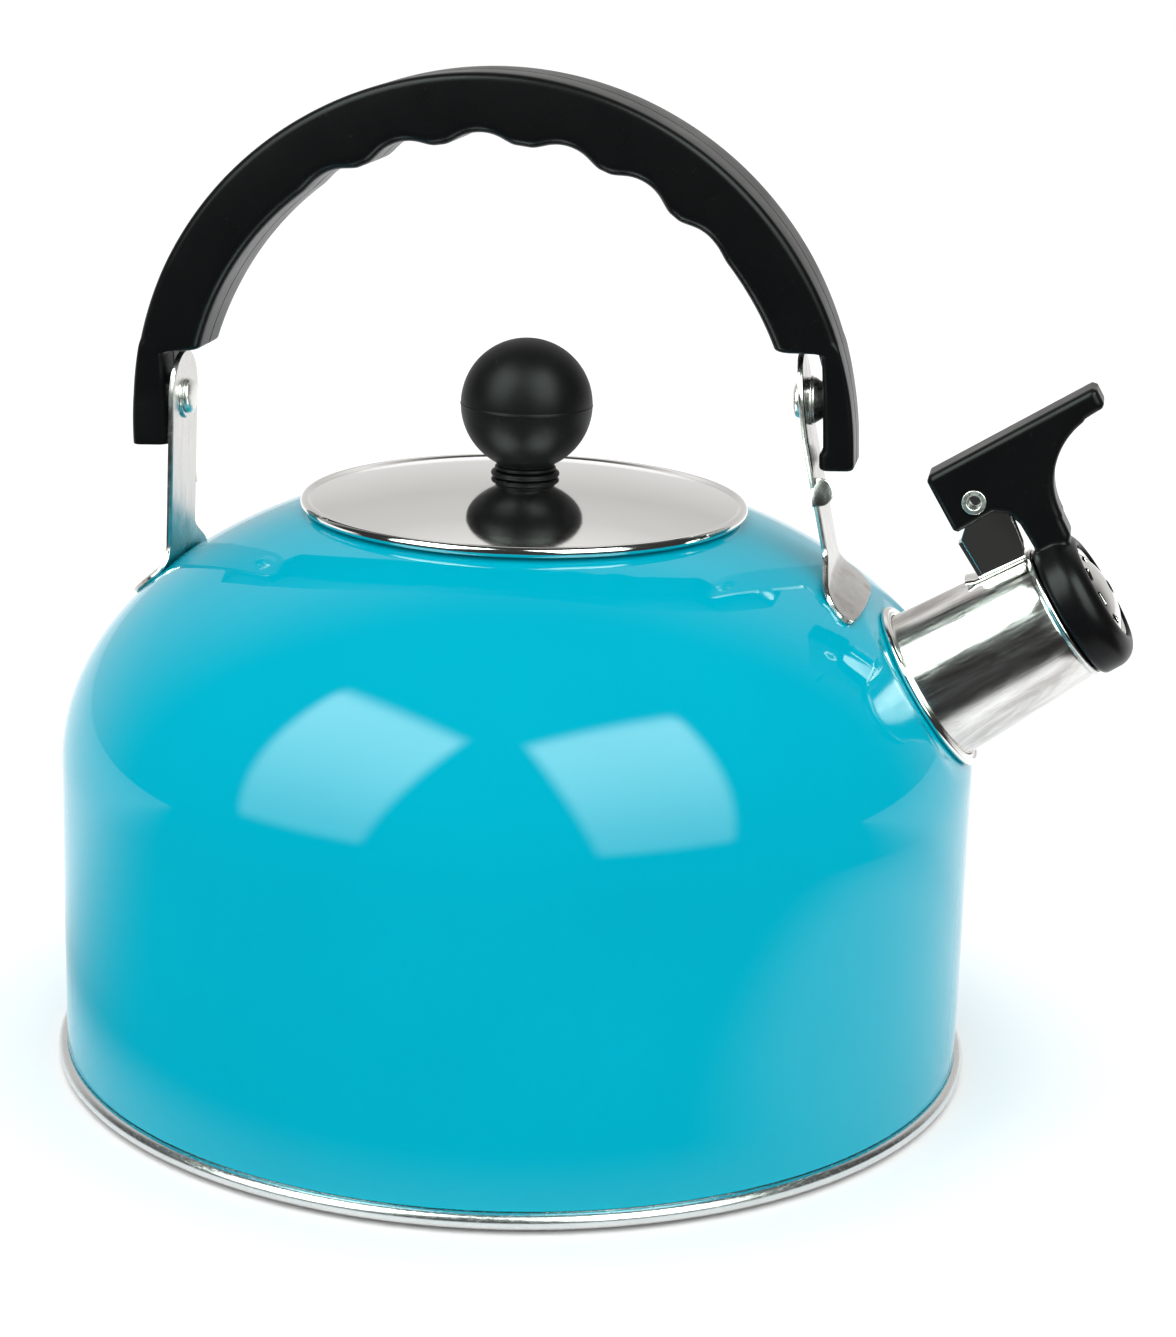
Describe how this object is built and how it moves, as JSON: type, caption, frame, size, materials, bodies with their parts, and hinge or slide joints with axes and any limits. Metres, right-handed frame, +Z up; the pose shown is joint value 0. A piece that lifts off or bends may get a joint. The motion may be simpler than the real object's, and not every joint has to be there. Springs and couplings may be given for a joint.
{
  "type": "stovetop whistling kettle",
  "caption": "Enamelled stovetop kettle with a lift-off lid, a folding arched handle on riveted straps, and a short spout closed by a sprung whistle cap with a thumb lever.",
  "frame": {"origin": "on the body's axis, on the plane that the base rests on", "axes": "+Z up, +X towards the spout, the handle folds down towards +Y"},
  "size_m": [0.2206, 0.192, 0.2038],
  "materials": {
    "lacquer": "glossy turquoise lacquer on steel",
    "lid_steel": "mirror-polished stainless steel",
    "tube_steel": "bright drawn stainless steel",
    "rim_steel": "satin rolled bead",
    "strap_steel": "polished and scuffed, slight heat tint at the welds",
    "base_steel": "spun satin steel",
    "disc_alloy": "raw pressed disc, enclosed",
    "fastener_steel": "polished rivets, screws, washers and spring",
    "insert_brass": "turned insert, enclosed",
    "grip_black": "satin black phenolic with a fine speckle",
    "knob_black": "matte black phenolic with a fine speckle"
  },
  "bodies": {
    "kettle": {"body_shell": "lacquer", "base_pan": "rim_steel", "heat_disc": "disc_alloy", "base_cap": "base_steel", "spout_tube": "tube_steel", "spout_flange": "tube_steel", "rear_strap": "strap_steel", "front_strap": "strap_steel", "whistle_bracket": "tube_steel", "whistle_spring": "fastener_steel"},
    "handle": {"handle_core": "base_steel", "grip_front": "grip_black", "grip_back": "grip_black", "grip_screws": "fastener_steel", "rear_rivet": "fastener_steel", "front_rivet": "fastener_steel", "flat_washers": "fastener_steel", "spring_washer": "fastener_steel"},
    "lid": {"lid_shell": "lid_steel", "lid_skirt": "lid_steel", "knob": "knob_black", "knob_collar": "knob_black", "knob_insert": "insert_brass", "knob_screw": "fastener_steel", "knob_washer": "fastener_steel"},
    "whistle": {"whistle_lever": "grip_black", "whistle_rivet": "fastener_steel", "whistle_outer_disc": "lid_steel", "whistle_inner_disc": "base_steel"}
  },
  "joints": [
    {"name": "handle_fold", "type": "hinge", "parent": "kettle", "child": "handle", "pos_m": [-0.00756, 0, 0.13809], "axis": [-0.9986, 0, -0.0523], "range_deg": [0, 95]},
    {"name": "lid_lift", "type": "slide", "parent": "kettle", "child": "lid", "axis": [0, 0, 1], "range_m": [0, 0.033]},
    {"name": "whistle_open", "type": "hinge", "parent": "kettle", "child": "whistle", "pos_m": [0.09141, 0, 0.12398], "axis": [0, -1, 0], "range_deg": [0, 50], "stiffness_Nm_per_rad": 0.06, "springref_deg": -40.11, "deforming": ["whistle_spring"]}
  ]
}
